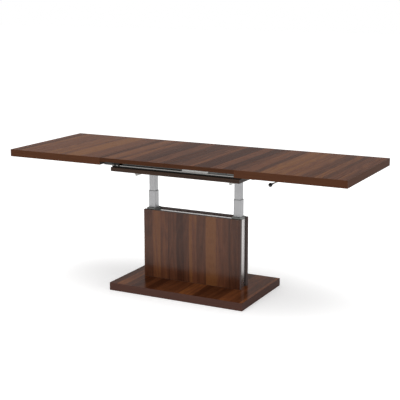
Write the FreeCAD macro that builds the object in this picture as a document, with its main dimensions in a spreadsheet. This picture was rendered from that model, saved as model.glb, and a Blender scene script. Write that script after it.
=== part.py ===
"""A height-adjustable table with an extending top.

A slab base carries a narrow pedestal of two wood panels with a pair of telescopic columns
between them. The columns lift a sub-board with two slide rails. Two leaves run on the rails,
and two loose insert boards fill the gap between the leaves when the top is extended.
The origin is on the floor under the middle of the table: +X runs along the top, +Y across it
towards the back, +Z up. All sizes are in millimetres.
"""
import FreeCAD
import Part
import Sketcher
import os
from types import SimpleNamespace

Vector = FreeCAD.Vector

# Driving sizes: name, value, what it measures
SIZES = [
    ("glide_height", 2, "felt glide under the base plate"),
    ("glide_radius", 14, "felt glide"),
    ("glide_inset", 45, "base plate edge to a glide's centre"),
    ("base_length", 824, "base plate along X"),
    ("base_depth", 516, "base plate along Y"),
    ("base_thickness", 44, "base plate"),
    ("board_edge", 0.8, "small bevel round the edges of a board"),
    ("pedestal_length", 607, "pedestal panel along X"),
    ("pedestal_height", 395, "pedestal panel above the base plate"),
    ("panel_thickness", 18, "pedestal panel"),
    ("core_depth", 68, "space between the two pedestal panels"),
    ("strip_thickness", 2, "aluminium cover strips of the pedestal"),
    ("end_strip_recess", 8, "end strip behind the panels' end edges"),
    ("top_strip_recess", 7, "top strip below the panels' top edges"),
    ("batten_gap", 15, "wood batten to a foot plate's inner end"),
    ("batten_height", 30, "wood battens that space the panels"),
    ("panel_screw_pitch", 150, "screws from the base plate up into a panel"),
    ("panel_screw_length", 72, "shank of such a screw"),
    ("screw_radius", 2.5, "shank of every wood screw"),
    ("screw_head_radius", 4.5, "head of every wood screw"),
    ("screw_head_height", 3, "head of every wood screw"),
    ("outer_tube_side", 48, "fixed square tube"),
    ("tube_play", 0.5, "between two nested tubes, on each side"),
    ("tube_wall", 2, "wall of the square tubes"),
    ("tube_corner", 3, "outer corner radius of the square tubes"),
    ("foot_plate_thickness", 6, "steel plate under a fixed tube"),
    ("foot_plate_width", 54, "steel plate along Y"),
    ("foot_tab", 39.5, "foot plate past the fixed tube's inner face"),
    ("foot_screw_inset", 10, "foot plate's long edge to a screw's axis"),
    ("foot_screw_length", 28, "shank of such a screw"),
    ("collar_rise", 7, "column collar above the panels"),
    ("collar_skirt", 24, "column collar below the panels' top edges"),
    ("collar_lip", 8, "collar above the top end of the fixed tube"),
    ("collar_wall", 2.5, "collar beside the fixed tube along X"),
    ("slide_gap", 0.3, "play of a tube in its collar or ring"),
    ("lift_travel", 194, "how far the top comes down"),
    ("guide_ring_height", 3, "plastic ring on top of a middle tube"),
    ("middle_tube_clearance", 38, "middle tube above the foot plate when the top is down"),
    ("inner_tube_clearance", 61, "inner tube above the foot plate when the top is down"),
    ("head_clearance", 10, "head angle above the collar when the top is down"),
    ("angle_leg", 35, "legs of the head angle"),
    ("angle_thickness", 4, "head angle"),
    ("angle_length", 366, "head angle along Y"),
    ("angle_cut", 23, "slant cut at each end of the upright leg"),
    ("head_screw_first", 60, "first screw of a head angle from the column axis"),
    ("head_screw_pitch", 80, "screws of a head angle along Y"),
    ("head_screw_length", 16, "shank of such a screw"),
    ("cylinder_radius", 11, "gas spring cylinder"),
    ("cylinder_wall", 3, "gas spring cylinder"),
    ("cylinder_clearance", 36, "cylinder below the bridge plate when the top is down"),
    ("cylinder_floor", 6, "closed lower end of the cylinder"),
    ("gland_height", 10, "rod guide at the top of the cylinder"),
    ("rod_radius", 5, "gas spring rod"),
    ("running_fit", 0.05, "radial play of a round part in its bore"),
    ("piston_play", 0.4, "radial play of the piston on the rod's lower end"),
    ("piston_height", 12, "piston on the rod's lower end"),
    ("piston_gap", 10, "piston below the rod guide when the top is up"),
    ("bridge_drop", 26, "bridge plate below the sub-board"),
    ("bridge_thickness", 6, "plate in the inner tube that holds the rod"),
    ("rod_end", 3, "rod above the bridge plate"),
    ("pin_radius", 2.5, "release pin in the top of the rod"),
    ("pin_depth", 20, "release pin inside the rod"),
    ("pin_stroke", 8, "free bore under the release pin"),
    ("pin_gap", 0.4, "release finger above its pin"),
    ("shaft_radius", 4, "release shaft"),
    ("shaft_drop", 8.5, "release shaft's axis below the sub-board"),
    ("shaft_setback", 35, "release shaft's axis in front of the columns"),
    ("shaft_overhang", 6, "release shaft past the left head angle"),
    ("shaft_bend", 18, "bend radius of the release shaft"),
    ("knob_overhang", 135, "knob's centre past the sub-board's end"),
    ("knob_reach", 134, "knob's centre in front of the release shaft"),
    ("knob_radius", 11, "ball knob"),
    ("knob_neck_length", 22, "tapered neck behind the ball"),
    ("knob_neck_wall", 1.5, "thin end of the neck round the shaft"),
    ("knob_socket", 8, "how deep the shaft sits in the knob"),
    ("finger_width", 8, "release finger along X"),
    ("finger_thickness", 6, "release finger"),
    ("finger_tip", 5, "release finger past the column axis"),
    ("finger_slot_gap", 2, "slot in the inner tube beside the finger"),
    ("finger_slot_drop", 6, "slot in the inner tube below the finger"),
    ("hub_radius", 6.4, "hub of a release finger"),
    ("hub_length", 14, "hub of a release finger"),
    ("bush_radius", 5.5, "bush of the release shaft in a head angle"),
    ("bush_inner_length", 6, "bush on the inner side of the head angle"),
    ("bearing_length", 16, "end bearing of the release shaft along X"),
    ("bearing_width", 24, "end bearing of the release shaft along Y"),
    ("bearing_depth", 18, "end bearing below the sub-board"),
    ("bearing_inset", 10, "end bearing from the sub-board's end"),
    ("sub_board_overhang", 123, "sub-board past a column's axis"),
    ("top_overhang", 92, "table top past the sub-board's long edges"),
    ("sub_board_thickness", 22, "sub-board"),
    ("spacer_height", 9.5, "packing strip under a rail"),
    ("spacer_width", 30, "packing strip under a rail"),
    ("rail_end_gap", 5, "sub-board's end to a rail's end"),
    ("rail_inset", 24, "sub-board edge to a rail's middle"),
    ("rail_width", 44, "slide rail along Y"),
    ("rail_height", 35.5, "slide rail"),
    ("rail_wall", 3, "walls of the slide rail"),
    ("rail_web", 10, "middle web of the slide rail"),
    ("rail_lip", 5, "lip that closes part of a track"),
    ("rail_bolt_radius", 3, "bolts from the sub-board into a rail's web"),
    ("rail_bolt_head_radius", 5.5, "head of such a bolt"),
    ("rail_bolt_head_height", 4, "head of such a bolt"),
    ("rail_bolt_length", 48, "shank of such a bolt"),
    ("rail_bolt_inset", 55, "rail's end to its outer bolt"),
    ("stop_length", 32, "end stops in the tracks"),
    ("stop_inset", 2, "end stop from the rail's end"),
    ("stop_bolt_inset", 8, "end stop's outer end to its bolt"),
    ("stop_bolt_length", 12, "bolt that holds an end stop"),
    ("clip_inset", 16, "end stop's outer end to its clip"),
    ("clip_thickness", 2, "clip in front of the rail's lower lip"),
    ("clip_leg_width", 9, "leg of the clip"),
    ("clip_leg_pitch", 25, "between the two legs of the clip"),
    ("shoe_cheek", 3, "side of a track to the runner bar in it"),
    ("runner_end_gap", 128, "outer end of a runner bar to the doubler at the leaf's end"),
    ("runner_gap", 0.5, "play of a shoe in its track and of a bar in its guide"),
    ("shoe_length", 154, "long shoe"),
    ("shoe_cap", 6, "closed inner end of the long shoe"),
    ("short_shoe_length", 50, "shoe that meets the end stop"),
    ("shoe_gap", 54, "between the long and the short shoe"),
    ("leaf_pull", 40, "how far a leaf pulls out to free the inserts"),
    ("table_depth", 700, "table top along Y"),
    ("leaf_length", 600, "leaf along X"),
    ("insert_length", 400, "insert board along X"),
    ("top_thickness", 22, "leaf and insert boards"),
    ("leaf_edge_height", 40, "doubled edge of a leaf"),
    ("band_thickness", 2, "edge band of a leaf"),
    ("doubler_gap", 11, "leaf bracket to the strip that doubles the leaf's edge"),
    ("seam_gap", 0.5, "between two boards of the top"),
    ("cleat_length", 200, "locating cleat under an insert"),
    ("cleat_width", 20, "locating cleat under an insert"),
    ("cleat_height", 18, "locating cleat under an insert"),
    ("bracket_length", 60, "leaf bracket along X"),
    ("bracket_first", 34, "first leaf bracket from the leaf's inner edge"),
    ("bracket_last", 80, "second leaf bracket from the runner bar's outer end"),
    ("bracket_thickness", 3, "upright and flange of a leaf bracket"),
    ("bracket_tongue", 4, "tongue of a leaf bracket in the track's mouth"),
    ("bracket_gap", 3, "leaf bracket beside the rail"),
    ("bracket_foot_gap", 1.5, "foot of an inner leaf bracket above the sub-board's level"),
    ("bracket_flange", 25, "flange under the leaf"),
    ("bracket_screw_pitch", 36, "two screws in a bracket's flange"),
    ("bracket_screw_length", 17, "shank of such a screw"),
]


class Measure:
    """A number together with the sheet expression that it comes from."""

    def __init__(self, number, text):
        self.number = number
        self.text = text

    def __add__(self, other):
        other = as_measure(other)
        return Measure(self.number + other.number, f"({self.text} + {other.text})")

    def __sub__(self, other):
        other = as_measure(other)
        return Measure(self.number - other.number, f"({self.text} - {other.text})")

    def __rsub__(self, other):
        return as_measure(other) - self

    def __mul__(self, factor):
        return Measure(self.number * factor, f"({self.text} * ({factor}))")

    def __truediv__(self, divisor):
        return Measure(self.number / divisor, f"({self.text} / {divisor})")

    def __neg__(self):
        return self * -1

    __radd__ = __add__
    __rmul__ = __mul__


def as_measure(value):
    """Turns a plain number into a measure, and leaves a measure as it is."""
    if isinstance(value, Measure):
        return value
    return Measure(value, f"({value})")


doc = FreeCAD.newDocument("ExtendingTable")
sheet = doc.addObject("Spreadsheet::Sheet", "Sizes")
for row, (alias, value, meaning) in enumerate(SIZES, start=1):
    sheet.set(f"A{row}", meaning)
    sheet.set(f"B{row}", str(value))
    sheet.setAlias(f"B{row}", alias)
doc.recompute()
size = SimpleNamespace(**{alias: Measure(value, f"Sizes.{alias}") for alias, value, _ in SIZES})

TINY = 1e-6
UP = Vector(0, 0, 1)
DOWN = Vector(0, 0, -1)
ALONG = Vector(1, 0, 0)
BACK = Vector(0, 1, 0)
SIDES = (("left", -1), ("right", 1))
ENDS = (("front", -1), ("rear", 1))
nodes = []


def keep(label, item):
    """Names a finished sub-part, which becomes one file."""
    item.Label = label
    nodes.append(item)
    return item


def bind(item, prop, measure):
    """Ties one property to the sheet."""
    item.setExpression(prop, as_measure(measure).text)


def place(item, x, y, z):
    """Ties an object's position to the sheet."""
    for axis, measure in zip("xyz", (x, y, z)):
        bind(item, f"Placement.Base.{axis}", measure)


def centred(middle, length):
    """The low and high end of a length about its middle."""
    return middle - length / 2, middle + length / 2


def on_side(side, near, far):
    """The low and high end of a span that lies on one side of the middle plane."""
    if side > 0:
        return near, far
    return -far, -near


def block(name, xs, ys, zs):
    """A box between a low and a high end on each axis."""
    item = doc.addObject("Part::Box", name)
    for prop, (low, high) in zip(("Length", "Width", "Height"), (xs, ys, zs)):
        bind(item, prop, high - low)
    place(item, xs[0], ys[0], zs[0])
    return item


def rod(name, start, direction, radius, length):
    """A round bar from its start point along a direction."""
    item = doc.addObject("Part::Cylinder", name)
    item.Placement = FreeCAD.Placement(Vector(), FreeCAD.Rotation(UP, direction))
    bind(item, "Radius", radius)
    bind(item, "Height", length)
    place(item, *start)
    return item


def group(name, items):
    """Separate solids of one kind, kept together."""
    item = doc.addObject("Part::Compound", name)
    item.Links = items
    return item


def fuse(name, items):
    """One solid made of touching shapes."""
    item = doc.addObject("Part::MultiFuse", name)
    item.Shapes = items
    item.Refine = True
    return item


def cut(name, base, tools):
    """A shape with other shapes taken out of it, one after the other."""
    for number, tool in enumerate(tools):
        item = doc.addObject("Part::Cut", f"{name}_cut_{number}")
        item.Base = base
        item.Tool = tool
        base = item
    return base


def outline(body, name, plane, rings):
    """A sketch of straight-sided rings on one of the body's own planes, each corner tied to the sheet."""
    sketch = body.newObject("Sketcher::SketchObject", name)
    support = next(feature for feature in body.Origin.OriginFeatures if feature.Role == plane)
    sketch.AttachmentSupport = (support, [""])
    sketch.MapMode = "FlatFace"
    for ring in rings:
        corners = [(as_measure(across), as_measure(up)) for across, up in ring]
        points = [Vector(across.number, up.number, 0) for across, up in corners]
        first = sketch.GeometryCount
        count = len(points)
        for number in range(count):
            sketch.addGeometry(Part.LineSegment(points[number], points[(number + 1) % count]), False)
        for number in range(count):
            line = first + number
            following = first + (number + 1) % count
            sketch.addConstraint(Sketcher.Constraint("Coincident", line, 2, following, 1))
        for number, corner in enumerate(corners):
            for kind, measure, axis in zip(("DistanceX", "DistanceY"), corner, (-2, -1)):
                line = first + number
                if measure.number == 0:
                    sketch.addConstraint(Sketcher.Constraint("PointOnObject", line, 1, axis))
                    continue
                index = sketch.addConstraint(Sketcher.Constraint(kind, -1, 1, line, 1, measure.number))
                sketch.setExpression(f"Constraints[{index}]", measure.text)
    return sketch


def padded(name, plane, rings, length, at):
    """A body of one straight-sided section, padded square to its plane and put in its place."""
    body = doc.addObject("PartDesign::Body", name)
    pad = body.newObject("PartDesign::Pad", f"{name}_pad")
    pad.Profile = outline(body, f"{name}_outline", plane, rings)
    bind(pad, "Length", length)
    body.Tip = pad
    place(body, *at)
    doc.recompute()
    return body


def rectangle(width, height):
    """The corners of a rectangle from the origin."""
    return [(0, 0), (width, 0), (width, height), (0, height)]


def square(side):
    """The corners of a square about the origin."""
    half = side / 2
    return [(-half, -half), (half, -half), (half, half), (-half, half)]


def board(name, xs, ys, zs):
    """A wood board with a small bevel round all its edges."""
    section = [rectangle(xs[1] - xs[0], ys[1] - ys[0])]
    body = padded(name, "XY_Plane", section, zs[1] - zs[0], (xs[0], ys[0], zs[0]))
    pad = body.Tip
    bevel = body.newObject("PartDesign::Chamfer", f"{name}_bevel")
    bevel.Base = (pad, [f"Edge{number}" for number in range(1, len(pad.Shape.Edges) + 1)])
    bind(bevel, "Size", size.board_edge)
    body.Tip = bevel
    return body


def tube(name, side, bore, length, at):
    """A square tube with round outer corners, standing on the middle of its lower end."""
    body = padded(name, "XY_Plane", [square(side), square(bore)], length, at)
    pad = body.Tip
    corners = []
    for number, edge in enumerate(pad.Shape.Edges, start=1):
        first, last = (vertex.Point for vertex in edge.Vertexes)
        upright = abs(first.x - last.x) < TINY and abs(first.y - last.y) < TINY
        if upright and abs(first.x) > side.number / 2 - TINY:
            corners.append(f"Edge{number}")
    rounding = body.newObject("PartDesign::Fillet", f"{name}_corners")
    rounding.Base = (pad, corners)
    bind(rounding, "Radius", size.tube_corner)
    body.Tip = rounding
    return body


def screws(name, points, direction, shank_radius, shank_length, head_radius, head_height):
    """Like screws: each point is under a head, and the shank runs along the direction."""
    made = []
    for number, point in enumerate(points):
        shank = rod(f"{name}_shank_{number}", point, direction, shank_radius, shank_length)
        head = rod(f"{name}_head_{number}", point, -direction, head_radius, head_height)
        made.append(fuse(f"{name}_{number}", [shank, head]))
    return group(name, made)


def wood_screws(name, points, direction, length):
    """Wood screws of the table's one gauge."""
    return screws(name, points, direction, size.screw_radius, length,
                  size.screw_head_radius, size.screw_head_height)


# Heights of the stack, from the floor up
base_top = size.glide_height + size.base_thickness
foot_plate_top = base_top + size.foot_plate_thickness
panel_top = base_top + size.pedestal_height
strip_top = panel_top - size.top_strip_recess
collar_top = panel_top + size.collar_rise
outer_tube_top = collar_top - size.collar_lip
ring_top = collar_top + size.lift_travel / 2
middle_tube_top = ring_top - size.guide_ring_height
angle_bottom = collar_top + size.lift_travel + size.head_clearance
sub_board_bottom = angle_bottom + size.angle_leg
sub_board_top = sub_board_bottom + size.sub_board_thickness
rail_bottom = sub_board_top + size.spacer_height
rail_top = rail_bottom + size.rail_height
rail_middle = rail_bottom + size.rail_height / 2
table_top = rail_top + size.top_thickness
leaf_edge_bottom = table_top - size.leaf_edge_height
bridge_top = sub_board_bottom - size.bridge_drop
bridge_bottom = bridge_top - size.bridge_thickness

# Places along and across the table that several pieces share
panel_inner = size.core_depth / 2
panel_outer = panel_inner + size.panel_thickness
end_strip_outer = size.pedestal_length / 2 - size.end_strip_recess
end_strip_inner = end_strip_outer - size.strip_thickness
outer_tube_half = size.outer_tube_side / 2
collar_half = outer_tube_half + size.collar_wall
column_x = end_strip_inner - collar_half
foot_plate_inner = column_x - outer_tube_half - size.foot_tab
middle_tube_side = size.outer_tube_side - (size.tube_wall + size.tube_play) * 2
inner_tube_side = middle_tube_side - (size.tube_wall + size.tube_play) * 2
inner_tube_face = column_x + inner_tube_side / 2
angle_face = inner_tube_face + size.angle_thickness
shaft_y = -size.shaft_setback
shaft_z = sub_board_bottom - size.shaft_drop
sub_board_end = column_x + size.sub_board_overhang
sub_board_depth = size.table_depth - size.top_overhang * 2
rail_end = sub_board_end - size.rail_end_gap
rail_y = sub_board_depth / 2 - size.rail_inset
half_width = size.rail_width / 2
half_web = size.rail_web / 2
wall = size.rail_wall
track_depth = half_width - half_web - wall
track_offset = half_web + track_depth / 2
track_height = size.rail_height - wall * 2
bar_thickness = track_depth - size.shoe_cheek * 2
bar_height = track_height - size.shoe_cheek * 2
bar_half = bar_thickness / 2
stop_outer = rail_end - size.stop_inset
stop_inner = stop_outer - size.stop_length
leaf_inner = size.insert_length + size.seam_gap / 2
leaf_outer = size.insert_length + size.leaf_length
board_outer = leaf_outer - size.band_thickness
board_front = size.table_depth / 2 - size.band_thickness
bracket_outer = rail_y + half_width + size.bracket_gap + size.bracket_thickness + size.bracket_flange
doubler_inner = bracket_outer + size.doubler_gap
doubler_width = board_front - doubler_inner
runner_end = board_outer - doubler_width - size.runner_end_gap


# Base plate: a thick slab on four felt glides
glide_x = size.base_length / 2 - size.glide_inset
glide_y = size.base_depth / 2 - size.glide_inset
glides = []
for _, along in SIDES:
    for _, across in ENDS:
        spot = (glide_x * along, glide_y * across, 0)
        glides.append(rod("glide", spot, UP, size.glide_radius, size.glide_height))
keep("floor_glides", group("floor_glides", glides))

panel_screw_y = panel_inner + size.panel_thickness / 2
panel_screw_z = size.glide_height + size.screw_head_height
panel_screw_points = []
for step in (-1.5, -0.5, 0.5, 1.5):
    for _, across in ENDS:
        panel_screw_points.append((size.panel_screw_pitch * step, panel_screw_y * across, panel_screw_z))
panel_screws = wood_screws("panel_screws", panel_screw_points, UP, size.panel_screw_length)
keep("panel_screws", panel_screws)

foot_screw_y = size.foot_plate_width / 2 - size.foot_screw_inset
foot_screw_points = []
for _, along in SIDES:
    for share in (0.25, 0.75):
        for _, across in ENDS:
            spot_x = (foot_plate_inner + size.foot_tab * share) * along
            foot_screw_points.append((spot_x, foot_screw_y * across, foot_plate_top))
foot_screws = wood_screws("foot_plate_screws", foot_screw_points, DOWN, size.foot_screw_length)
keep("foot_plate_screws", foot_screws)

slab = board("base_slab", centred(0, size.base_length), centred(0, size.base_depth),
             (size.glide_height, base_top))
keep("base_plate", cut("base_plate", slab, [panel_screws, foot_screws]))


# Pedestal: two upright panels spaced by battens, with aluminium strips in the gaps between them
for label, across in (("front_panel", -1), ("back_panel", 1)):
    panel = board(f"{label}_board", centred(0, size.pedestal_length),
                  on_side(across, panel_inner, panel_outer), (base_top, panel_top))
    keep(label, cut(label, panel, [panel_screws]))

core = centred(0, size.core_depth)
batten_x = centred(0, (foot_plate_inner - size.batten_gap) * 2)
lower_batten = block("lower_batten", batten_x, core, (base_top, base_top + size.batten_height))
top_strip_bottom = strip_top - size.strip_thickness
upper_batten = block("upper_batten", batten_x, core,
                     (top_strip_bottom - size.batten_height, top_strip_bottom))
keep("panel_battens", group("panel_battens", [lower_batten, upper_batten]))
top_strip_x = centred(0, (column_x - collar_half) * 2)
keep("top_strip", block("top_strip", top_strip_x, core, (top_strip_bottom, strip_top)))
for name, side in SIDES:
    strip_x = on_side(side, end_strip_inner, end_strip_outer)
    keep(f"{name}_end_strip", block(f"{name}_end_strip", strip_x, core, (base_top, strip_top)))


# Telescopic columns: fixed tube, middle tube and inner tube, with a lockable gas spring inside
outer_tube_bore = size.outer_tube_side - size.tube_wall * 2
middle_tube_bore = middle_tube_side - size.tube_wall * 2
inner_tube_bore = inner_tube_side - size.tube_wall * 2
ring_bore = inner_tube_side + size.slide_gap * 2
collar_bore = middle_tube_side + size.slide_gap * 2
middle_bottom = foot_plate_top + size.middle_tube_clearance + size.lift_travel / 2
inner_bottom = foot_plate_top + size.inner_tube_clearance + size.lift_travel
cylinder_top = bridge_bottom - size.lift_travel - size.cylinder_clearance
bore_bottom = foot_plate_top + size.cylinder_floor
bore_top = cylinder_top - size.gland_height
cylinder_bore = size.cylinder_radius - size.cylinder_wall
gland_bore = size.rod_radius + size.running_fit
rod_top = bridge_top + size.rod_end
piston_top = bore_top - size.piston_gap
pin_bottom = rod_top - size.pin_depth
finger_bottom = shaft_z - size.finger_thickness / 2
pin_top = finger_bottom - size.pin_gap
foot_plates = []
bridges = []
pins = []
for name, side in SIDES:
    axis_x = column_x * side
    foot = block(f"{name}_foot", on_side(side, foot_plate_inner, column_x + outer_tube_half),
                 centred(0, size.foot_plate_width), (base_top, foot_plate_top))
    foot_plates.append(cut(f"{name}_foot", foot, [foot_screws]))

    fixed_tube = tube(f"{name}_outer_tube", size.outer_tube_side, outer_tube_bore,
                      outer_tube_top - foot_plate_top, (axis_x, 0, foot_plate_top))
    keep(f"{name}_outer_tube", fixed_tube)

    collar = block(f"{name}_collar_block", centred(axis_x, collar_half * 2), core,
                   (panel_top - size.collar_skirt, collar_top))
    passage = block(f"{name}_collar_passage", centred(axis_x, collar_bore), centred(0, collar_bore),
                    (panel_top - size.collar_skirt, collar_top))
    keep(f"{name}_column_collar", cut(f"{name}_collar", collar, [passage, fixed_tube]))

    can = rod(f"{name}_can", (axis_x, 0, foot_plate_top), UP, size.cylinder_radius,
              cylinder_top - foot_plate_top)
    bore = rod(f"{name}_bore", (axis_x, 0, bore_bottom), UP, cylinder_bore, bore_top - bore_bottom)
    gland = rod(f"{name}_gland", (axis_x, 0, bore_top), UP, gland_bore, size.gland_height)
    keep(f"{name}_gas_cylinder", cut(f"{name}_gas_cylinder", can, [bore, gland]))

    keep(f"{name}_middle_tube", tube(f"{name}_middle_tube", middle_tube_side, middle_tube_bore,
                                     middle_tube_top - middle_bottom, (axis_x, 0, middle_bottom)))
    keep(f"{name}_guide_ring", tube(f"{name}_guide_ring", middle_tube_side, ring_bore,
                                    size.guide_ring_height, (axis_x, 0, middle_tube_top)))

    inner = tube(f"{name}_inner_blank", inner_tube_side, inner_tube_bore, sub_board_bottom - inner_bottom,
                 (axis_x, 0, inner_bottom))
    slot = block(f"{name}_finger_slot", centred(axis_x, size.finger_width + size.finger_slot_gap * 2),
                 (-inner_tube_side, -inner_tube_bore / 2 + size.tube_wall),
                 (finger_bottom - size.finger_slot_drop, sub_board_bottom))
    keep(f"{name}_inner_tube", cut(f"{name}_inner_tube", inner, [slot]))

    stem = rod(f"{name}_stem", (axis_x, 0, piston_top), UP, size.rod_radius, rod_top - piston_top)
    piston = rod(f"{name}_piston", (axis_x, 0, piston_top), DOWN, cylinder_bore - size.piston_play,
                 size.piston_height)
    pin_bore = rod(f"{name}_pin_bore", (axis_x, 0, pin_bottom - size.pin_stroke), UP,
                   size.pin_radius + size.running_fit, size.pin_depth + size.pin_stroke)
    plunger = fuse(f"{name}_plunger", [stem, piston])
    keep(f"{name}_gas_rod", cut(f"{name}_gas_rod", plunger, [pin_bore]))
    pins.append(rod(f"{name}_pin", (axis_x, 0, pin_bottom), UP, size.pin_radius, pin_top - pin_bottom))

    bridge = block(f"{name}_bridge", centred(axis_x, inner_tube_bore), centred(0, inner_tube_bore),
                   (bridge_bottom, bridge_top))
    bridges.append(cut(f"{name}_bridge", bridge, [plunger]))
keep("foot_plates", group("foot_plates", foot_plates))
keep("head_plates", group("head_plates", bridges))
keep("release_pins", group("release_pins", pins))


# Sub-board on two steel head angles, one on the outer face of each column
head_screw_x = angle_face + (size.angle_leg - size.angle_thickness) / 2
head_screw_z = sub_board_bottom - size.angle_thickness
head_screw_points = []
for _, side in SIDES:
    for _, across in ENDS:
        for step in (0, 1):
            spot_y = (size.head_screw_first + size.head_screw_pitch * step) * across
            head_screw_points.append((head_screw_x * side, spot_y, head_screw_z))
head_screws = wood_screws("head_screws", head_screw_points, UP, size.head_screw_length)
keep("head_screws", head_screws)

angle_half = size.angle_length / 2
upright_leg = [(-angle_half + size.angle_cut, 0), (angle_half - size.angle_cut, 0),
               (angle_half, size.angle_leg), (-angle_half, size.angle_leg)]
bearings = []
for name, side in SIDES:
    leg_x = on_side(side, inner_tube_face, angle_face)
    flange_x = on_side(side, inner_tube_face, inner_tube_face + size.angle_leg)
    upright = padded(f"{name}_upright", "YZ_Plane", [upright_leg], size.angle_thickness,
                     (leg_x[0], 0, angle_bottom))
    flange = block(f"{name}_flange", flange_x, centred(0, size.angle_length),
                   (head_screw_z, sub_board_bottom))
    angle = fuse(f"{name}_angle", [upright, flange])
    bush_x = on_side(side, inner_tube_face - size.bush_inner_length, angle_face)
    bush_start = (bush_x[0], shaft_y, shaft_z)
    bush = rod(f"{name}_bush", bush_start, ALONG, size.bush_radius, bush_x[1] - bush_x[0])
    bush_bore = rod(f"{name}_bush_bore", bush_start, ALONG, size.shaft_radius + size.running_fit,
                    bush_x[1] - bush_x[0])
    keep(f"{name}_head_angle", cut(f"{name}_head_angle", angle, [head_screws, bush]))
    bearings.append(cut(f"{name}_bush", bush, [bush_bore]))

bearing_right = sub_board_end - size.bearing_inset
bearing_left = bearing_right - size.bearing_length
bearing = block("end_bearing", (bearing_left, bearing_right), centred(shaft_y, size.bearing_width),
                (sub_board_bottom - size.bearing_depth, sub_board_bottom))
bearing_bore = rod("end_bearing_bore", (bearing_left, shaft_y, shaft_z), ALONG,
                   size.shaft_radius + size.running_fit, size.bearing_length)
bearings.append(cut("end_bearing", bearing, [bearing_bore]))
keep("shaft_bearings", group("shaft_bearings", bearings))

rail_bolt_points = []
for _, along in SIDES:
    for share in (1 / 3, 1):
        for _, across in ENDS:
            spot_x = (rail_end - size.rail_bolt_inset) * (share * along)
            rail_bolt_points.append((spot_x, rail_y * across, sub_board_bottom))
upright_bolts = screws("upright_bolts", rail_bolt_points, UP, size.rail_bolt_radius, size.rail_bolt_length,
                       size.rail_bolt_head_radius, size.rail_bolt_head_height)
panel = board("sub_board_panel", centred(0, sub_board_end * 2), centred(0, sub_board_depth),
              (sub_board_bottom, sub_board_top))
keep("sub_board", cut("sub_board", panel, [head_screws, upright_bolts]))


# Slide rails: aluminium sections with a track on each side of a middle web, on black packing strips
lip_bottom = size.rail_height - size.rail_lip
track_ceiling = size.rail_height - wall
rail_section = [
    (-half_width, 0), (half_width, 0), (half_width, size.rail_lip), (half_width - wall, size.rail_lip),
    (half_width - wall, wall), (half_web, wall), (half_web, track_ceiling),
    (half_width - wall, track_ceiling), (half_width - wall, lip_bottom), (half_width, lip_bottom),
    (half_width, size.rail_height), (-half_width, size.rail_height), (-half_width, lip_bottom),
    (wall - half_width, lip_bottom), (wall - half_width, track_ceiling), (-half_web, track_ceiling),
    (-half_web, wall), (wall - half_width, wall), (wall - half_width, size.rail_lip),
    (-half_width, size.rail_lip),
]
rail_x = centred(0, rail_end * 2)
spacers = []
for name, across in ENDS:
    middle_y = rail_y * across
    strip = block(f"{name}_spacer", rail_x, centred(middle_y, size.spacer_width),
                  (sub_board_top, rail_bottom))
    spacers.append(cut(f"{name}_spacer", strip, [upright_bolts]))
    section = padded(f"{name}_section", "YZ_Plane", [rail_section], rail_end * 2,
                     (rail_x[0], middle_y, rail_bottom))
    keep(f"{name}_rail", cut(f"{name}_rail", section, [upright_bolts]))
keep("rail_spacers", group("rail_spacers", spacers))


def track_middle(across, side):
    """Where the track of one leaf's runner lies in the front or the rear rail."""
    return rail_y * across - track_offset * side


# End stops: a bolted block at the far end of each track with a two-legged clip over the rail's lower lip,
# and a guide for the bar at the near end
stops = []
stop_bolts = []
track_z = centred(rail_middle, track_height)
mouth_z = (rail_bottom + size.rail_lip, rail_top - size.rail_lip)
clip_outer = stop_outer - size.clip_inset
clip_inner = clip_outer - size.clip_leg_width - size.clip_leg_pitch
for name, side in SIDES:
    for end, across in ENDS:
        middle_y = track_middle(across, side)
        track_y = centred(middle_y, track_depth)
        far_block = block(f"{name}_{end}_stop", on_side(-side, stop_inner, stop_outer), track_y, track_z)
        mouth_y = [rail_y * across + offset for offset in on_side(-side, half_width - wall, half_width)]
        clip_y = [rail_y * across + offset
                  for offset in on_side(-side, half_width, half_width + size.clip_thickness)]
        neck = block(f"{name}_{end}_clip_neck", on_side(-side, stop_inner, clip_outer), mouth_y, mouth_z)
        clip = [block(f"{name}_{end}_clip_plate", on_side(-side, clip_inner, clip_outer), clip_y, mouth_z)]
        for leg_inner in (clip_inner, clip_inner + size.clip_leg_pitch):
            leg_x = on_side(-side, leg_inner, leg_inner + size.clip_leg_width)
            clip.append(block(f"{name}_{end}_clip_leg", leg_x, clip_y, (rail_bottom, mouth_z[0])))
        far_stop = fuse(f"{name}_{end}_clipped_stop", [far_block, neck] + clip)
        bolt_x = (stop_outer - size.stop_bolt_inset) * -side
        bolt = screws(f"{name}_{end}_stop_bolt", [(bolt_x, middle_y - track_depth / 2 * side, rail_middle)],
                      Vector(0, side, 0), size.rail_bolt_radius, size.stop_bolt_length,
                      size.rail_bolt_head_radius, size.rail_wall)
        stop_bolts.append(bolt)
        stops.append(cut(f"{name}_{end}_stop", far_stop, [bolt]))
        guide_x = on_side(side, stop_inner, stop_outer)
        guide = block(f"{name}_{end}_guide", guide_x, track_y, track_z)
        passage_y = [middle_y + offset
                     for offset in on_side(-side, -bar_half - size.runner_gap, track_depth / 2)]
        passage = block(f"{name}_{end}_guide_passage", guide_x, passage_y,
                        centred(rail_middle, bar_height + size.runner_gap * 2))
        stops.append(cut(f"{name}_{end}_guide", guide, [passage]))
keep("rail_end_stops", group("rail_end_stops", stops))
keep("rail_bolts", group("rail_bolts", [upright_bolts] + stop_bolts))


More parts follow.
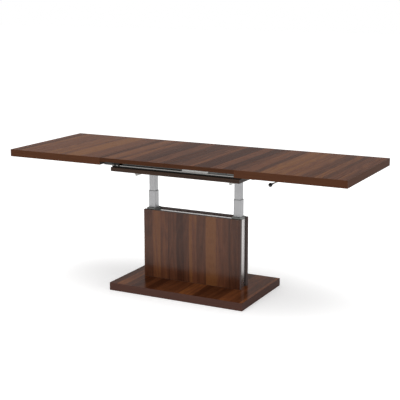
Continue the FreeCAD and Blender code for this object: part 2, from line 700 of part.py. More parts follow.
# Leaves: edge-doubled boards, each on a runner in the front rail and a runner in the rear rail
short_shoe_end = stop_inner - size.leaf_pull
short_shoe_start = short_shoe_end - size.short_shoe_length
long_shoe_end = short_shoe_start - size.shoe_gap
long_shoe_start = long_shoe_end - size.shoe_length
shoe_spans = ((long_shoe_start, long_shoe_end), (short_shoe_start, short_shoe_end))
shoe_depth = track_depth - size.runner_gap * 2
shoe_height = track_height - size.runner_gap * 2
upright_near = half_width - track_offset - bar_half + size.bracket_gap
upright_far = upright_near + size.bracket_thickness
flange_far = upright_far + size.bracket_flange
tongue_half = size.bracket_tongue / 2
flange_z = rail_top - rail_middle
foot_z = sub_board_top + size.bracket_foot_gap - rail_middle
bracket_places = (leaf_inner + size.bracket_first, runner_end - size.bracket_last)
for name, side in SIDES:
    bars = []
    shoes = []
    bracket_blanks = []
    bracket_screw_points = []
    for end, across in ENDS:
        middle_y = track_middle(across, side)
        bar = block(f"{name}_{end}_bar", on_side(side, long_shoe_start + size.shoe_cap, runner_end),
                    centred(middle_y, bar_thickness), centred(rail_middle, bar_height))
        keep(f"{name}_{end}_runner", bar)
        for number, span in enumerate(shoe_spans):
            shoe = block(f"{name}_{end}_shoe_{number}", on_side(side, *span),
                         centred(middle_y, shoe_depth), centred(rail_middle, shoe_height))
            shoes.append(cut(f"{name}_{end}_shoe_{number}", shoe, [bar]))
        # A bracket on a rail's inner side has a long foot, the others end with the bar, out of sight
        upright_end = foot_z if side == across else -bar_height / 2
        bracket_section = [
            (0, -tongue_half), (upright_near * -side, -tongue_half), (upright_near * -side, upright_end),
            (upright_far * -side, upright_end), (upright_far * -side, flange_z - size.bracket_thickness),
            (flange_far * -side, flange_z - size.bracket_thickness), (flange_far * -side, flange_z),
            (upright_near * -side, flange_z), (upright_near * -side, tongue_half), (0, tongue_half),
        ]
        for number, bracket_place in enumerate(bracket_places):
            bracket_middle = bracket_place * side
            bracket_x = centred(bracket_middle, size.bracket_length)
            face_y = middle_y - bar_half * side
            bracket_blanks.append(padded(f"{name}_{end}_bracket_{number}", "YZ_Plane", [bracket_section],
                                         size.bracket_length, (bracket_x[0], face_y, rail_middle)))
            screw_y = face_y - (upright_far + size.bracket_flange / 2) * side
            for spot_x in centred(bracket_middle, size.bracket_screw_pitch):
                bracket_screw_points.append((spot_x, screw_y, rail_top - size.bracket_thickness))
    keep(f"{name}_runner_shoes", group(f"{name}_runner_shoes", shoes))
    leaf_screws = wood_screws(f"{name}_bracket_screws", bracket_screw_points, UP, size.bracket_screw_length)
    keep(f"{name}_bracket_screws", leaf_screws)
    brackets = [cut(f"{blank.Name}_drilled", blank, [leaf_screws]) for blank in bracket_blanks]
    keep(f"{name}_leaf_brackets", group(f"{name}_leaf_brackets", brackets))

    leaf_x = on_side(side, leaf_inner, board_outer)
    leaf_board = block(f"{name}_leaf", leaf_x, centred(0, board_front * 2), (rail_top, table_top))
    keep(f"{name}_leaf_board", cut(f"{name}_leaf_board", leaf_board, [leaf_screws]))

    doubler_z = (leaf_edge_bottom, rail_top)
    doublers = [block(f"{name}_{end}_doubler", leaf_x,
                      on_side(across, doubler_inner, board_front), doubler_z)
                for end, across in ENDS]
    doublers.append(block(f"{name}_end_doubler", on_side(side, board_outer - doubler_width, board_outer),
                          centred(0, doubler_inner * 2), doubler_z))
    keep(f"{name}_leaf_doublers", group(f"{name}_leaf_doublers", doublers))

    band_z = (leaf_edge_bottom, table_top)
    bands = [block(f"{name}_{end}_band", leaf_x, on_side(across, board_front, size.table_depth / 2), band_z)
             for end, across in ENDS]
    bands.append(block(f"{name}_end_band", on_side(side, board_outer, leaf_outer),
                       centred(0, size.table_depth), band_z))
    keep(f"{name}_leaf_edge_bands", group(f"{name}_leaf_edge_bands", bands))


# Inserts: two loose boards that rest on the rails between the leaves, held in place by cleats
cleat_outer = rail_y - half_width - size.clip_thickness - size.runner_gap
for name, side in SIDES:
    insert_x = on_side(side, size.seam_gap / 2, size.insert_length - size.seam_gap / 2)
    keep(f"{name}_insert", board(f"{name}_insert", insert_x, centred(0, size.table_depth),
                                 (rail_top, table_top)))
    cleat_x = centred(size.insert_length / 2 * side, size.cleat_length)
    cleats = [block(f"{name}_{end}_cleat", cleat_x,
                    on_side(across, cleat_outer - size.cleat_width, cleat_outer),
                    (rail_top - size.cleat_height, rail_top))
              for end, across in ENDS]
    keep(f"{name}_insert_cleats", group(f"{name}_insert_cleats", cleats))


# Release lever: a bent shaft under the sub-board with a ball knob and a finger over each release pin
shaft_left = -(angle_face + size.shaft_overhang)
knob_x = sub_board_end + size.knob_overhang
bend_x = knob_x - size.shaft_bend
arm_length = size.knob_reach - size.shaft_bend - size.knob_radius + size.knob_socket
long_run = rod("shaft_long_run", (shaft_left, shaft_y, shaft_z), ALONG, size.shaft_radius,
               bend_x - shaft_left)
bend = doc.addObject("Part::Torus", "shaft_bend")
bind(bend, "Radius1", size.shaft_bend)
bind(bend, "Radius2", size.shaft_radius)
bend.Angle3 = 90
place(bend, bend_x, shaft_y - size.shaft_bend, shaft_z)
arm = rod("shaft_arm", (knob_x, shaft_y - size.shaft_bend, shaft_z), -BACK,
          size.shaft_radius, arm_length)
shaft = fuse("release_shaft", [long_run, bend, arm])
keep("release_shaft", shaft)

# The neck starts inside the ball, on a circle given as shares of the ball's radius
NECK_ROOT_PLACE = 0.6
NECK_ROOT_RADIUS = 0.75
ball = doc.addObject("Part::Sphere", "knob_ball")
bind(ball, "Radius", size.knob_radius)
place(ball, knob_x, shaft_y - size.knob_reach, shaft_z)
neck = doc.addObject("Part::Cone", "knob_neck")
neck.Placement = FreeCAD.Placement(Vector(), FreeCAD.Rotation(UP, BACK))
bind(neck, "Radius1", size.knob_radius * NECK_ROOT_RADIUS)
bind(neck, "Radius2", size.shaft_radius + size.knob_neck_wall)
bind(neck, "Height", size.knob_neck_length)
place(neck, knob_x, shaft_y - size.knob_reach + size.knob_radius * NECK_ROOT_PLACE, shaft_z)
keep("ball_knob", cut("ball_knob", fuse("knob_body", [ball, neck]), [shaft]))

fingers = []
for name, side in SIDES:
    axis_x = column_x * side
    hub = rod(f"{name}_finger_hub", (axis_x - size.hub_length / 2, shaft_y, shaft_z), ALONG,
              size.hub_radius, size.hub_length)
    tongue = block(f"{name}_finger_tongue", centred(axis_x, size.finger_width), (shaft_y, size.finger_tip),
                   centred(shaft_z, size.finger_thickness))
    fingers.append(cut(f"{name}_finger", fuse(f"{name}_finger", [hub, tongue]), [shaft]))
keep("release_fingers", group("release_fingers", fingers))


# Check every object, then write one file for each sub-part
doc.recompute()
for item in doc.Objects:
    if "Invalid" in item.State or "Error" in item.State:
        raise RuntimeError(f"{item.Label} failed to build: {item.State}")
for item in nodes:
    if item.Shape.isNull() or not item.Shape.isValid():
        raise RuntimeError(f"{item.Label} has no valid shape")
os.makedirs("parts", exist_ok=True)
for item in nodes:
    item.Shape.exportStep(f"parts/{item.Label}.step")
print(len(nodes), "sub-parts written")
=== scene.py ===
import math

import bpy
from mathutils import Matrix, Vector

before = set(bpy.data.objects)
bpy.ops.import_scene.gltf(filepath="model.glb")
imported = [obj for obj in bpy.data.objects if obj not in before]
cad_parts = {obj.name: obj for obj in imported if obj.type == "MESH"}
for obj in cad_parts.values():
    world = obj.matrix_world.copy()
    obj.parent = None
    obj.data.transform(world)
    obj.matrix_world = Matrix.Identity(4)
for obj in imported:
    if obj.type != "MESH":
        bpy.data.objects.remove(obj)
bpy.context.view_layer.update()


# Base plate: a thick slab of particle board under dark walnut laminate with a semi-gloss lacquer.
# Its printed planks run from front to back, and a plain walnut foil covers the edges.
# The slab stands on four felt glides that are glued under its corners.
def join(tree, value, socket):
    """Links an output to a socket, or sets the socket to a plain value."""
    if isinstance(value, bpy.types.NodeSocket):
        tree.links.new(value, socket)
    else:
        socket.default_value = value


def add_node(tree, kind, settings=None, **inputs):
    """Adds a shader node, sets its properties, and sets or links its named inputs."""
    node = tree.nodes.new(kind)
    for title, value in (settings or {}).items():
        setattr(node, title, value)
    for title, value in inputs.items():
        join(tree, value, node.inputs[title.replace("_", " ")])
    return node


def reckon(tree, operation, *values):
    """A sum on values that change over the surface."""
    node = tree.nodes.new("ShaderNodeMath")
    node.operation = operation
    for number, value in enumerate(values):
        join(tree, value, node.inputs[number])
    return node.outputs[0]


def swing(tree, value, reach, mean, middle=0.5):
    """Lets a pattern carry a mean value up and down."""
    return reckon(tree, "MULTIPLY_ADD", reckon(tree, "SUBTRACT", value, middle), reach, mean)


def tint(tree, blend, share, first, second):
    """Mixes two colours."""
    node = tree.nodes.new("ShaderNodeMix")
    node.data_type = "RGBA"
    node.blend_type = blend
    for value, socket in zip((share, first, second), (node.inputs[0], node.inputs[6], node.inputs[7])):
        join(tree, value, socket)
    return node.outputs[2]


def ramp(tree, value, stops):
    """Turns a value into colours, from a list of places and linear colours."""
    node = add_node(tree, "ShaderNodeValToRGB", Fac=value)
    elements = node.color_ramp.elements
    while len(elements) < len(stops):
        elements.new(0.5)
    for element, (place, colour) in zip(elements, stops):
        element.position = place
        element.color = (*colour, 1.0)
    return node.outputs["Color"]


def noise(tree, point, scale, detail, softness=0.5):
    """A soft random pattern."""
    return add_node(tree, "ShaderNodeTexNoise", Vector=point, Scale=scale, Detail=detail,
                    Roughness=softness).outputs[0]


def stretch(tree, point, rates):
    """A point with each coordinate times its own rate, for patterns that are drawn out."""
    node = add_node(tree, "ShaderNodeVectorMath", {"operation": "MULTIPLY"})
    join(tree, point, node.inputs[0])
    join(tree, rates, node.inputs[1])
    return node.outputs[0]


def part_point(tree):
    """Where a point of the surface lies on the table, in metres."""
    return add_node(tree, "ShaderNodeTexCoord").outputs["Object"]


def split(tree, vector):
    """The three coordinates of a point or direction."""
    return add_node(tree, "ShaderNodeSeparateXYZ", Vector=vector).outputs


def begin_group(name, inputs, outputs):
    """Starts a shared effect with named sockets, and returns its tree and both ends."""
    tree = bpy.data.node_groups.new(name, "ShaderNodeTree")
    for title, kind, start in inputs:
        socket = tree.interface.new_socket(title, in_out="INPUT", socket_type=kind)
        if start is not None:
            socket.default_value = start
    for title, kind in outputs:
        tree.interface.new_socket(title, in_out="OUTPUT", socket_type=kind)
    return tree, tree.nodes.new("NodeGroupInput").outputs, tree.nodes.new("NodeGroupOutput").inputs


def walnut_figure():
    """Planks of uneven width side by side, with streaks, flames and pores along the grain."""
    tree, given, made = begin_group(
        "Walnut figure",
        (("Board Point", "NodeSocketVector", None), ("Decor Shift", "NodeSocketFloat", 0.0),
         ("Slat Rate", "NodeSocketFloat", 21.0), ("Slat Share", "NodeSocketFloat", 0.48),
         ("Stain", "NodeSocketColor", (1.0, 1.0, 1.0, 1.0)), ("Polish", "NodeSocketFloat", 0.2)),
        (("Colour", "NodeSocketColor"), ("Roughness", "NodeSocketFloat"), ("Height", "NodeSocketFloat")))
    point = split(tree, given["Board Point"])
    drift = add_node(tree, "ShaderNodeTexNoise", {"noise_dimensions": "2D"}, Scale=1.3, Detail=1.0,
                     Vector=given["Board Point"]).outputs[0]
    drift_reach = 0.016
    strayed = reckon(tree, "MULTIPLY_ADD", drift, drift_reach, point["X"])
    across = reckon(tree, "ADD", strayed, given["Decor Shift"])
    wide_planks_per_metre = 7.5
    planks = []
    for per_metre in (wide_planks_per_metre, given["Slat Rate"]):
        place = reckon(tree, "MULTIPLY", across, per_metre)
        cell = add_node(tree, "ShaderNodeTexVoronoi", {"voronoi_dimensions": "1D"}, W=place, Scale=1.0)
        planks.append(add_node(tree, "ShaderNodeSeparateColor", Color=cell.outputs["Color"]).outputs)
    wide, narrow = planks

    def grain(across_rate, along_rate, layer, detail, softness):
        """Noise drawn out along the grain."""
        spot = add_node(tree, "ShaderNodeCombineXYZ", X=reckon(tree, "MULTIPLY", across, across_rate),
                        Y=reckon(tree, "MULTIPLY", point["Y"], along_rate), Z=layer)
        return noise(tree, spot.outputs[0], scale=1.0, detail=detail, softness=softness)

    # Each plank reads its grain from a layer of its own, so that the grain breaks off at a plank's edge
    slat_layer_span = 60.0
    wide_layer_span = 40.0
    slat_layer = reckon(tree, "MULTIPLY", narrow["Green"], slat_layer_span)
    wide_layer = reckon(tree, "MULTIPLY", wide["Green"], wide_layer_span)
    streaks = grain(across_rate=95.0, along_rate=2.4, layer=slat_layer, detail=4.0, softness=0.6)
    rings = grain(across_rate=11.0, along_rate=1.5, layer=wide_layer, detail=1.5, softness=0.45)
    ring_count = 9.0
    flames = reckon(tree, "PINGPONG", reckon(tree, "MULTIPLY", rings, ring_count), 0.5)
    pores = grain(across_rate=900.0, along_rate=22.0, layer=0.0, detail=2.0, softness=0.5)

    contrast = reckon(tree, "SUBTRACT", narrow["Red"], wide["Red"])
    tone = reckon(tree, "MULTIPLY_ADD", contrast, given["Slat Share"], wide["Red"])
    tone = swing(tree, streaks, reach=0.42, mean=tone)
    tone = swing(tree, flames, reach=0.34, mean=tone, middle=0.25)
    dark_heart = (0.050, 0.0158, 0.0070)
    brown_heart = (0.080, 0.0280, 0.0122)
    warm_grain = (0.124, 0.0435, 0.0190)
    golden_grain = (0.176, 0.0680, 0.0215)
    colour = ramp(tree, tone, ((0.18, dark_heart), (0.42, brown_heart), (0.64, warm_grain),
                               (0.86, golden_grain)))
    colour = tint(tree, "MULTIPLY", 1.0, colour, given["Stain"])
    pore_shade = (0.68, 0.62, 0.60, 1.0)
    smooth_wood = add_node(tree, "ShaderNodeMapRange", Value=pores, From_Min=0.36, From_Max=0.46).outputs[0]
    in_pores = tint(tree, "MULTIPLY", 1.0, colour, pore_shade)
    join(tree, tint(tree, "MIX", smooth_wood, in_pores, colour), made["Colour"])
    join(tree, swing(tree, streaks, reach=0.12, mean=given["Polish"]), made["Roughness"])
    streak_height = 0.3
    pore_depth = 0.7
    ridges = reckon(tree, "MULTIPLY", streaks, streak_height)
    join(tree, reckon(tree, "MULTIPLY_ADD", smooth_wood, pore_depth, ridges), made["Height"])
    return tree


figure = walnut_figure()


def edge_foil():
    """A narrow foil round the edges of a board, with fine lines along it."""
    tree, given, made = begin_group(
        "Edge foil",
        (("Foil Point", "NodeSocketVector", None), ("Line Rate", "NodeSocketVector", (5.0, 5.0, 700.0)),
         ("Light Tone", "NodeSocketColor", (0.1, 0.05, 0.03, 1.0)),
         ("Dark Tone", "NodeSocketColor", (0.06, 0.03, 0.02, 1.0))),
        (("Colour", "NodeSocketColor"),))
    lines = noise(tree, stretch(tree, given["Foil Point"], given["Line Rate"]), scale=1.0, detail=4.0)
    share = add_node(tree, "ShaderNodeMapRange", Value=lines, From_Min=0.3, From_Max=0.7).outputs[0]
    join(tree, tint(tree, "MIX", share, given["Dark Tone"], given["Light Tone"]), made["Colour"])
    return tree


foil = edge_foil()


def begin_finish(name):
    """Starts a material, and returns it with its tree and its surface shader."""
    material = bpy.data.materials.new(name)
    material.use_nodes = True
    return material, material.node_tree, material.node_tree.nodes["Principled BSDF"]


def raise_surface(tree, surface, height, depth):
    """Lets a height pattern turn the surface's normal."""
    bump = add_node(tree, "ShaderNodeBump", Height=height, Strength=0.6, Distance=depth)
    tree.links.new(bump.outputs[0], surface.inputs["Normal"])


def walnut_laminate(name, decor_shift, stain, polish, lacquer_index, face_axis, edge_light, edge_dark,
                    plain_within=0.0, slat_rate=21.0, slat_share=0.48):
    """Walnut decor on the two faces across an axis, its planks side by side along X, and plain foil on the
    edges. A face that is nearer to the table's middle plane than plain_within is plain too."""
    material, tree, surface = begin_finish(name)
    place = add_node(tree, "ShaderNodeTexCoord").outputs
    spot = split(tree, place["Object"])
    flat = add_node(tree, "ShaderNodeCombineXYZ", X=spot["X"], Y=reckon(tree, "ADD", spot["Y"], spot["Z"]))
    decor = add_node(tree, "ShaderNodeGroup", {"node_tree": figure}, Board_Point=flat.outputs[0],
                     Decor_Shift=decor_shift, Slat_Rate=slat_rate, Slat_Share=slat_share,
                     Stain=(*stain, 1.0), Polish=polish).outputs
    line_rate = (5.0, 5.0, 700.0) if face_axis == "Z" else (700.0, 700.0, 5.0)
    edge = add_node(tree, "ShaderNodeGroup", {"node_tree": foil}, Foil_Point=place["Object"],
                    Line_Rate=line_rate, Light_Tone=(*edge_light, 1.0), Dark_Tone=(*edge_dark, 1.0)).outputs
    turned = reckon(tree, "ABSOLUTE", split(tree, place["Normal"])[face_axis])
    flat_enough = 0.8
    facing = reckon(tree, "GREATER_THAN", turned, flat_enough)
    outside = reckon(tree, "GREATER_THAN", reckon(tree, "ABSOLUTE", spot[face_axis]), plain_within)
    on_face = reckon(tree, "MULTIPLY", facing, outside)
    join(tree, tint(tree, "MIX", on_face, edge["Colour"], decor["Colour"]), surface.inputs["Base Color"])
    tree.links.new(decor["Roughness"], surface.inputs["Roughness"])
    surface.inputs["IOR"].default_value = lacquer_index
    raise_surface(tree, surface, decor["Height"], depth=0.00008)
    return material, tree, surface, on_face


def dress(material, *names):
    """Gives a finish to named pieces of the frame."""
    for name in names:
        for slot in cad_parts[name].material_slots:
            slot.material = material


base_walnut = walnut_laminate(
    "base walnut laminate", decor_shift=53.452, stain=(1.34, 1.2, 1.0), polish=0.16, lacquer_index=1.065,
    face_axis="Z", edge_light=(0.080, 0.040, 0.031), edge_dark=(0.062, 0.030, 0.024))[0]
dress(base_walnut, "base_plate")

felt, tree, surface = begin_finish("dark felt")
felt_shadow = (0.03, 0.03, 0.03)
felt_light = (0.09, 0.088, 0.085)
fibre = noise(tree, part_point(tree), scale=900.0, detail=3.0)
join(tree, ramp(tree, fibre, ((0.3, felt_shadow), (0.7, felt_light))), surface.inputs["Base Color"])
surface.inputs["Roughness"].default_value = 0.95
raise_surface(tree, surface, fibre, depth=0.0004)
dress(felt, "floor_glides")


# Pedestal: two upright laminate panels held apart by battens, screwed up through the base plate.
# Satin anodised aluminium strips are pressed into the gap at both ends and along the top.
panel_walnut, tree, surface, on_face = walnut_laminate(
    "pedestal walnut laminate", decor_shift=422.802, stain=(0.77, 0.74, 0.77), polish=0.22,
    lacquer_index=1.03, face_axis="Y", edge_light=(0.128, 0.098, 0.092), edge_dark=(0.104, 0.080, 0.075),
    plain_within=0.043)
join(tree, on_face, surface.inputs["Coat Weight"])
surface.inputs["Coat IOR"].default_value = 1.34
surface.inputs["Coat Roughness"].default_value = 0.2
dress(panel_walnut, "front_panel", "back_panel")


def drawn_metal():
    """Fine lines along the way that a tube, strip or bar was drawn or brushed."""
    tree, given, made = begin_group(
        "Drawn metal",
        (("Metal Point", "NodeSocketVector", None), ("Line Rate", "NodeSocketVector", (600.0, 600.0, 6.0)),
         ("Mean Roughness", "NodeSocketFloat", 0.35),
         ("Light Metal", "NodeSocketColor", (0.5, 0.5, 0.5, 1.0)),
         ("Dark Metal", "NodeSocketColor", (0.4, 0.4, 0.4, 1.0))),
        (("Colour", "NodeSocketColor"), ("Roughness", "NodeSocketFloat"), ("Height", "NodeSocketFloat")))
    lines = noise(tree, stretch(tree, given["Metal Point"], given["Line Rate"]), scale=1.0, detail=3.0)
    cloud = noise(tree, given["Metal Point"], scale=9.0, detail=2.0)
    cloud_share = 0.4
    line_part = reckon(tree, "MULTIPLY", lines, 1.0 - cloud_share)
    mixed = reckon(tree, "MULTIPLY_ADD", cloud, cloud_share, line_part)
    join(tree, tint(tree, "MIX", mixed, given["Dark Metal"], given["Light Metal"]), made["Colour"])
    join(tree, swing(tree, mixed, reach=0.12, mean=given["Mean Roughness"]), made["Roughness"])
    join(tree, lines, made["Height"])
    return tree


metal_lines = drawn_metal()


def metal_finish(name, light, dark, roughness, line_rate, metallic=1.0):
    """A drawn, brushed or coated metal surface."""
    material, tree, surface = begin_finish(name)
    lines = add_node(tree, "ShaderNodeGroup", {"node_tree": metal_lines}, Metal_Point=part_point(tree),
                     Line_Rate=line_rate, Mean_Roughness=roughness, Light_Metal=(*light, 1.0),
                     Dark_Metal=(*dark, 1.0)).outputs
    tree.links.new(lines["Colour"], surface.inputs["Base Color"])
    tree.links.new(lines["Roughness"], surface.inputs["Roughness"])
    surface.inputs["Metallic"].default_value = metallic
    raise_surface(tree, surface, lines["Height"], depth=0.00003)
    return material


end_aluminium = metal_finish("end strip aluminium", light=(0.43, 0.41, 0.40), dark=(0.37, 0.35, 0.345),
                             roughness=0.26, line_rate=(900.0, 900.0, 5.0))
top_aluminium = metal_finish("top strip aluminium", light=(0.50, 0.475, 0.465), dark=(0.43, 0.41, 0.40),
                             roughness=0.16, line_rate=(5.0, 900.0, 900.0))
dress(end_aluminium, "left_end_strip", "right_end_strip")
dress(top_aluminium, "top_strip")


def chipboard(name, light, dark):
    """Raw particle board: pale and dark chips pressed together."""
    material, tree, surface = begin_finish(name)
    chips = add_node(tree, "ShaderNodeTexVoronoi", Vector=part_point(tree), Scale=260.0).outputs
    shade = add_node(tree, "ShaderNodeSeparateColor", Color=chips["Color"]).outputs["Red"]
    join(tree, ramp(tree, shade, ((0.1, dark), (0.9, light))), surface.inputs["Base Color"])
    surface.inputs["Roughness"].default_value = 0.8
    raise_surface(tree, surface, chips["Distance"], depth=0.0003)
    return material


dress(chipboard("raw board", light=(0.34, 0.25, 0.16), dark=(0.20, 0.135, 0.08)), "panel_battens")

zinc = metal_finish("zinc plate", light=(0.62, 0.62, 0.60), dark=(0.46, 0.46, 0.46), roughness=0.3,
                    line_rate=(500.0, 500.0, 500.0))
dress(zinc, "panel_screws")


# Telescopic columns: three nested square steel tubes each, with a satin silver lacquer.
# Moulded collars and guide rings close the gaps, and a lockable gas spring stands inside.
# Each column rises from a coated steel foot plate that is screwed to the base plate.
tube_silver = metal_finish("satin silver tube", light=(0.32, 0.32, 0.325), dark=(0.30, 0.30, 0.305),
                           roughness=0.4, line_rate=(700.0, 700.0, 4.0))


def moulding_skin():
    """The faint spark-eroded skin of an injection moulding."""
    tree, given, made = begin_group(
        "Moulding skin",
        (("Skin Point", "NodeSocketVector", None), ("Mean Roughness", "NodeSocketFloat", 0.5),
         ("Light Tone", "NodeSocketColor", (0.06, 0.06, 0.06, 1.0)),
         ("Dark Tone", "NodeSocketColor", (0.04, 0.04, 0.04, 1.0))),
        (("Colour", "NodeSocketColor"), ("Roughness", "NodeSocketFloat"), ("Height", "NodeSocketFloat")))
    pebble = noise(tree, given["Skin Point"], scale=1600.0, detail=2.0)
    flow = noise(tree, given["Skin Point"], scale=25.0, detail=2.0)
    join(tree, tint(tree, "MIX", flow, given["Dark Tone"], given["Light Tone"]), made["Colour"])
    join(tree, swing(tree, flow, reach=0.25, mean=given["Mean Roughness"]), made["Roughness"])
    join(tree, pebble, made["Height"])
    return tree


skin = moulding_skin()


def moulded(name, light, dark, roughness, depth=0.00006):
    """A moulded plastic."""
    material, tree, surface = begin_finish(name)
    pebbled = add_node(tree, "ShaderNodeGroup", {"node_tree": skin}, Skin_Point=part_point(tree),
                       Mean_Roughness=roughness, Light_Tone=(*light, 1.0), Dark_Tone=(*dark, 1.0)).outputs
    tree.links.new(pebbled["Colour"], surface.inputs["Base Color"])
    tree.links.new(pebbled["Roughness"], surface.inputs["Roughness"])
    raise_surface(tree, surface, pebbled["Height"], depth)
    return material


collar_grey = moulded("collar grey plastic", light=(0.205, 0.210, 0.200), dark=(0.158, 0.163, 0.154),
                      roughness=0.5)
ring_grey = moulded("guide ring plastic", light=(0.15, 0.15, 0.15), dark=(0.11, 0.11, 0.11), roughness=0.5)
cylinder_black = metal_finish("cylinder black paint", light=(0.024, 0.024, 0.024),
                              dark=(0.016, 0.016, 0.016), roughness=0.35, line_rate=(60.0, 60.0, 60.0),
                              metallic=0.0)
rod_chrome = metal_finish("chromed rod", light=(0.80, 0.80, 0.81), dark=(0.72, 0.72, 0.73), roughness=0.14,
                          line_rate=(40.0, 40.0, 1500.0))
steel_coat = metal_finish("light grey powder coat", light=(0.72, 0.72, 0.70), dark=(0.64, 0.64, 0.62),
                          roughness=0.5, line_rate=(420.0, 420.0, 420.0), metallic=0.0)
for side in ("left", "right"):
    dress(tube_silver, f"{side}_outer_tube", f"{side}_middle_tube", f"{side}_inner_tube")
    dress(collar_grey, f"{side}_column_collar")
    dress(ring_grey, f"{side}_guide_ring")
    dress(cylinder_black, f"{side}_gas_cylinder")
    dress(rod_chrome, f"{side}_gas_rod")
dress(steel_coat, "foot_plates", "head_plates")
dress(rod_chrome, "release_pins")
dress(zinc, "foot_plate_screws")


# Sub-board: a board under very dark brown laminate, on a powder-coated steel angle at each column head.
# The angles are welded to the tubes and screwed up into the board.
# Black plastic bushes in the angles and a bearing under the board hold the release lever's shaft.
board_brown, tree, surface = begin_finish("sub-board dark laminate")
board_dark = (0.022, 0.0115, 0.0075)
board_light = (0.052, 0.029, 0.019)
streak = noise(tree, stretch(tree, part_point(tree), (3.0, 70.0, 160.0)), scale=1.0, detail=5.0)
join(tree, ramp(tree, streak, ((0.3, board_dark), (0.7, board_light))), surface.inputs["Base Color"])
streak_reach = 0.2
smoothest = 0.3
join(tree, reckon(tree, "MULTIPLY_ADD", streak, streak_reach, smoothest), surface.inputs["Roughness"])
surface.inputs["IOR"].default_value = 1.2
raise_surface(tree, surface, streak, depth=0.0001)
dress(board_brown, "sub_board")
dress(steel_coat, "left_head_angle", "right_head_angle")
dress(zinc, "head_screws")

black_moulding = moulded("black plastic", light=(0.012, 0.011, 0.010), dark=(0.006, 0.0055, 0.005),
                         roughness=0.6)
black_moulding.node_tree.nodes["Principled BSDF"].inputs["IOR"].default_value = 1.25
dress(black_moulding, "shaft_bearings")


# Slide rails: mill-finish aluminium extrusions on packing strips, bolted up through the sub-board; the
# strips are black as painted shade in the gap under the rails.
# Black moulded stops close the tracks at their ends, and the bolts are blackened steel.
rail_metal = metal_finish("rail aluminium", light=(0.25, 0.245, 0.235), dark=(0.17, 0.167, 0.16),
                          roughness=0.34, line_rate=(4.0, 800.0, 800.0))


def darken_stretch(material, axis, middle, reach, shade):
    """Darkens a finish near a place along an axis, and near its mirror image in the middle plane."""
    tree = material.node_tree
    surface = tree.nodes["Principled BSDF"]
    plain = surface.inputs["Base Color"].links[0].from_socket
    from_plane = reckon(tree, "ABSOLUTE", split(tree, part_point(tree))[axis])
    distance = reckon(tree, "ABSOLUTE", reckon(tree, "SUBTRACT", from_plane, middle))
    inside = reckon(tree, "LESS_THAN", distance, reach)
    darkened = tint(tree, "MULTIPLY", inside, plain, (shade, shade, shade, 1.0))
    join(tree, darkened, surface.inputs["Base Color"])


# Painted shade: the web and the floors of the tracks are darkened, for the shade deep in the rails' recess
darken_stretch(rail_metal, "Y", middle=0.234, reach=0.0189, shade=0.4)
bolt_black = metal_finish("blackened bolt steel", light=(0.035, 0.033, 0.034), dark=(0.022, 0.021, 0.022),
                          roughness=0.4, line_rate=(500.0, 500.0, 500.0), metallic=0.0)
dress(rail_metal, "front_rail", "rear_rail")
# The black packing strips are painted shade in the gap under the rails; the end stops are black plastic
dress(black_moulding, "rail_spacers", "rail_end_stops")
dress(bolt_black, "rail_bolts")


# Leaves: laminate boards with a doubled edge under a walnut band, so that they look thicker than they are.
# Each one hangs on two dark steel runner bars with nylon shoes, held by folded steel brackets.
top_decor = {"decor_shift": 362.793, "stain": (0.75, 0.78, 0.85), "face_axis": "Z", "slat_rate": 30.0,
             "slat_share": 0.58}
top_walnut = walnut_laminate(
    "table top walnut laminate", polish=0.26, lacquer_index=1.03, edge_light=(0.066, 0.027, 0.0136),
    edge_dark=(0.045, 0.018, 0.0096), **top_decor)[0]
edge_walnut = walnut_laminate(
    "edge band walnut", polish=0.3, lacquer_index=1.05, edge_light=(0.082, 0.034, 0.018),
    edge_dark=(0.062, 0.024, 0.0125), **top_decor)[0]
# Painted shade: the doublers and cleats get a very dark board colour, for the shade they lie in under the
# leaves and inserts
painted_shade_doubler_board = chipboard("dark doubler board", light=(0.045, 0.030, 0.020), dark=(0.022, 0.014, 0.010))
runner_steel = metal_finish("runner dark steel", light=(0.115, 0.115, 0.11), dark=(0.075, 0.075, 0.072),
                            roughness=0.45, line_rate=(5.0, 700.0, 700.0), metallic=0.0)
# Painted shade: the bars and brackets are darkened past the rails' ends, for the shade they lie in under
# the leaves
darken_stretch(runner_steel, "X", middle=0.69, reach=0.31, shade=0.22)
shoe_nylon = moulded("light grey nylon", light=(0.46, 0.46, 0.45), dark=(0.38, 0.38, 0.37), roughness=0.45)
# The short shoes at the outer end are moulded in black
darken_stretch(shoe_nylon, "X", middle=0.286, reach=0.03, shade=0.12)
for side in ("left", "right"):
    dress(top_walnut, f"{side}_leaf_board")
    dress(edge_walnut, f"{side}_leaf_edge_bands")
    dress(painted_shade_doubler_board, f"{side}_leaf_doublers")
    dress(runner_steel, f"{side}_front_runner", f"{side}_rear_runner", f"{side}_leaf_brackets")
    dress(shoe_nylon, f"{side}_runner_shoes")
    dress(zinc, f"{side}_bracket_screws")


# Inserts: two loose laminate boards that lie on the rails between the leaves.
# Wood cleats glued underneath keep them in place.
for side in ("left", "right"):
    dress(top_walnut, f"{side}_insert")
    dress(painted_shade_doubler_board, f"{side}_insert_cleats")


# Release lever: a bent steel rod under the sub-board with pressed fingers over the gas springs' pins.
# A glossy black ball is screwed on its end for the hand.
ball_black = moulded("ball black gloss", light=(0.009, 0.009, 0.009), dark=(0.005, 0.005, 0.005),
                     roughness=0.16, depth=0.00001)
ball_black.node_tree.nodes["Principled BSDF"].inputs["IOR"].default_value = 1.35
dress(steel_coat, "release_shaft", "release_fingers")
dress(ball_black, "ball_knob")


# Studio: a wide pale floor, soft boxes overhead, in front and on the right, and a pale sky all round.
# The floor and the sky look white, and the floor keeps the table's soft shadow near its foot.
floor_half = 30.0
floor_mesh = bpy.data.meshes.new("studio floor")
floor_mesh.from_pydata([(-floor_half, -floor_half, 0), (floor_half, -floor_half, 0),
                        (floor_half, floor_half, 0), (-floor_half, floor_half, 0)], [], [(0, 1, 2, 3)])
floor = bpy.data.objects.new("studio_floor", floor_mesh)
bpy.context.collection.objects.link(floor)


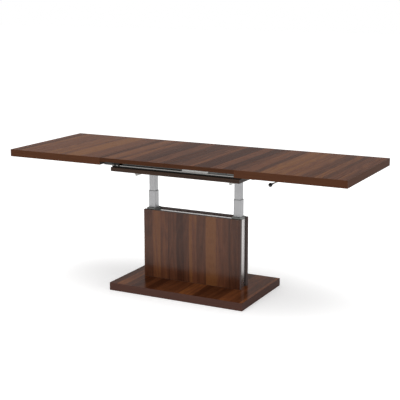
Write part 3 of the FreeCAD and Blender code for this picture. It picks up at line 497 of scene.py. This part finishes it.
def seen_directly(tree):
    """One for rays from the camera, a mirror or a clear body, and nought for light that scatters."""
    path = tree.nodes.new("ShaderNodeLightPath").outputs
    direct = reckon(tree, "MAXIMUM", path["Is Camera Ray"], path["Is Glossy Ray"])
    return reckon(tree, "MAXIMUM", direct, path["Is Transmission Ray"])


floor_white, tree, surface = begin_finish("floor white")
surface.inputs["Base Color"].default_value = (0.70, 0.70, 0.70, 1.0)
surface.inputs["Roughness"].default_value = 1.0
surface.inputs["IOR"].default_value = 1.0
surface.inputs["Emission Color"].default_value = (1.0, 1.0, 1.0, 1.0)
from_foot = add_node(tree, "ShaderNodeVectorMath", {"operation": "LENGTH"},
                     Vector=part_point(tree)).outputs["Value"]
glow = add_node(tree, "ShaderNodeMapRange", {"interpolation_type": "SMOOTHSTEP"}, Value=from_foot,
                From_Min=0.45, From_Max=1.4, To_Min=0.29, To_Max=0.60).outputs[0]
scattered_glow = 0.20
floor_glow = reckon(tree, "MULTIPLY_ADD", seen_directly(tree), glow, scattered_glow)
join(tree, floor_glow, surface.inputs["Emission Strength"])
floor_mesh.materials.append(floor_white)

world = bpy.data.worlds.new("studio sky")
bpy.context.scene.world = world
world.use_nodes = True
sky_tree = world.node_tree
sky = sky_tree.nodes["Background"]
sky.inputs["Color"].default_value = (1.0, 1.0, 1.0, 1.0)
sky_light = 0.5
sky_glow = reckon(sky_tree, "MULTIPLY_ADD", seen_directly(sky_tree), 1.0 - sky_light, sky_light)
join(sky_tree, sky_glow, sky.inputs["Strength"])


def soft_box(name, place, aim, width, height, power):
    """A rectangular studio lamp turned towards a point, which doesn't show in reflections."""
    lamp = bpy.data.lights.new(name, "AREA")
    lamp.shape = "RECTANGLE"
    lamp.size = width
    lamp.size_y = height
    lamp.energy = power
    holder = bpy.data.objects.new(name, lamp)
    holder.location = place
    holder.visible_glossy = False
    holder.rotation_euler = (Vector(aim) - Vector(place)).to_track_quat("-Z", "Y").to_euler()
    bpy.context.collection.objects.link(holder)


soft_box("overhead_soft_box", place=(-0.4, -0.3, 3.6), aim=(0.0, 0.0, 0.7), width=3.2, height=2.2,
         power=84.0)
soft_box("front_soft_box", place=(-0.6, -4.9, 1.1), aim=(0.0, 0.0, 0.4), width=2.6, height=1.6,
         power=90.0)
soft_box("right_soft_box", place=(4.2, -1.2, 1.5), aim=(0.9, 0.0, 0.6), width=1.6, height=1.2,
         power=30.0)

camera_yaw = 0.4757
camera_pitch = -0.2162
level_reach = math.cos(camera_pitch)
sight = Vector((-math.sin(camera_yaw) * level_reach, math.cos(camera_yaw) * level_reach,
                math.sin(camera_pitch)))
camera_data = bpy.data.cameras.new("photo camera")
camera_data.sensor_fit = "HORIZONTAL"
camera_data.sensor_width = 36.0
camera_data.lens = 87.2
camera = bpy.data.objects.new("photo_camera", camera_data)
camera.location = (2.445, -4.6888, 1.6744)
camera.rotation_euler = sight.to_track_quat("-Z", "Y").to_euler()
bpy.context.collection.objects.link(camera)
bpy.context.scene.camera = camera
bpy.context.scene.view_settings.view_transform = "Standard"
